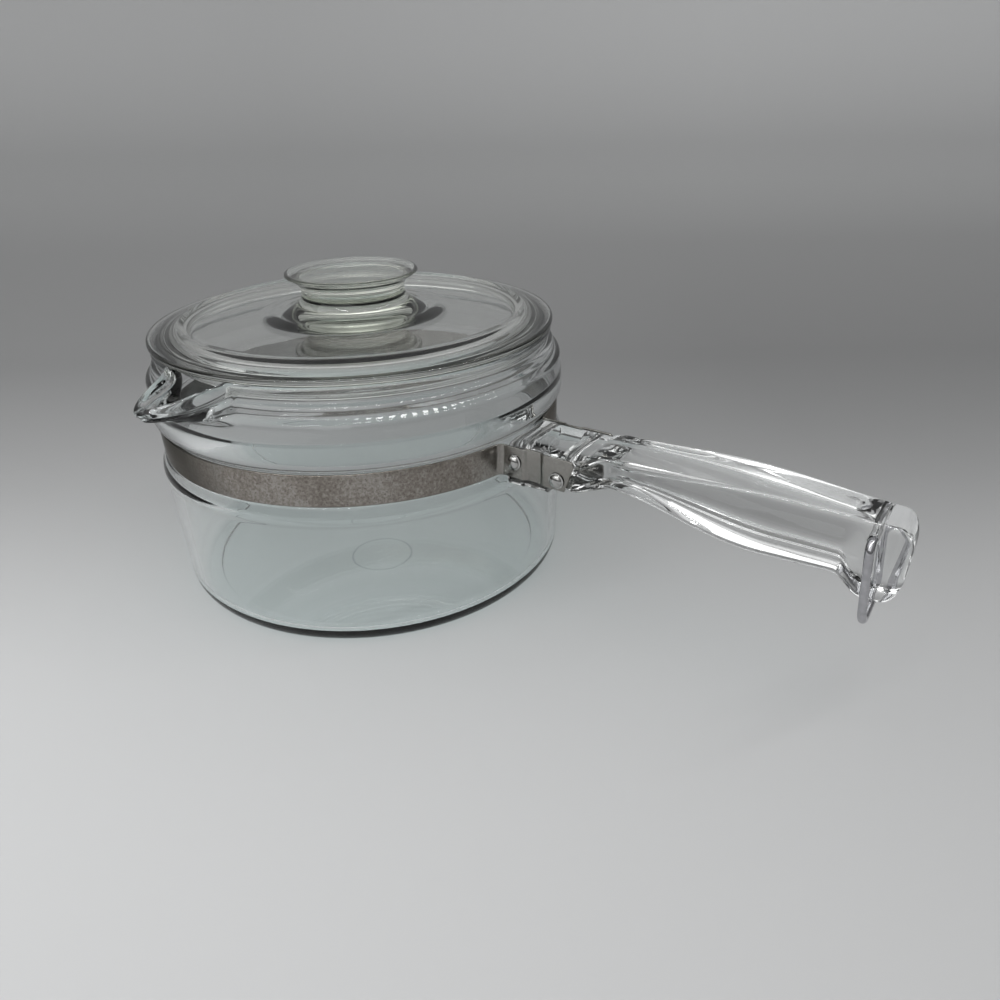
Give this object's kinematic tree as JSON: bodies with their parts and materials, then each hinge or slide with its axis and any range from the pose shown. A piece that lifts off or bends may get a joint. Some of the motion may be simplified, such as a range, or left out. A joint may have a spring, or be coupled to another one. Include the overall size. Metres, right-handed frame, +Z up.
{
  "type": "saucepan",
  "caption": "Clear glass saucepan with a pouring spout, a lift-off glass lid with a knob, and a glass handle held in a riveted steel strap, with a wire hanging ring.",
  "frame": {"origin": "middle of the flat face that the pot stands on", "axes": "+Z up along the pot's axis, +X out along the handle, -Y out along the pouring spout"},
  "size_m": [0.3003, 0.1853, 0.1218],
  "materials": {
    "pot_glass": "polished clear glass with a faint blue-green cast",
    "lid_glass": "polished clear glass with a faint yellow-green cast",
    "handle_glass": "polished colourless glass",
    "strap_steel": "satin stainless steel with a brown-grey tarnish",
    "rivet_steel": "polished steel",
    "ring_chrome": "polished plated wire"
  },
  "bodies": {
    "pan": {"pot": "pot_glass", "strap": "strap_steel", "handle": "handle_glass", "front_rivet": "rivet_steel", "rear_rivet": "rivet_steel"},
    "lid": {"lid": "lid_glass"},
    "ring": {"hanging_ring": "ring_chrome"}
  },
  "joints": [
    {"name": "lid_lift", "type": "slide", "parent": "pan", "child": "lid", "axis": [0, 0, 1], "range_m": [0, 0.12]},
    {"name": "ring_swing", "type": "hinge", "parent": "pan", "child": "ring", "pos_m": [0.2055, 0, 0.0692], "axis": [0, -1, 0], "range_deg": [-54, 240]}
  ]
}
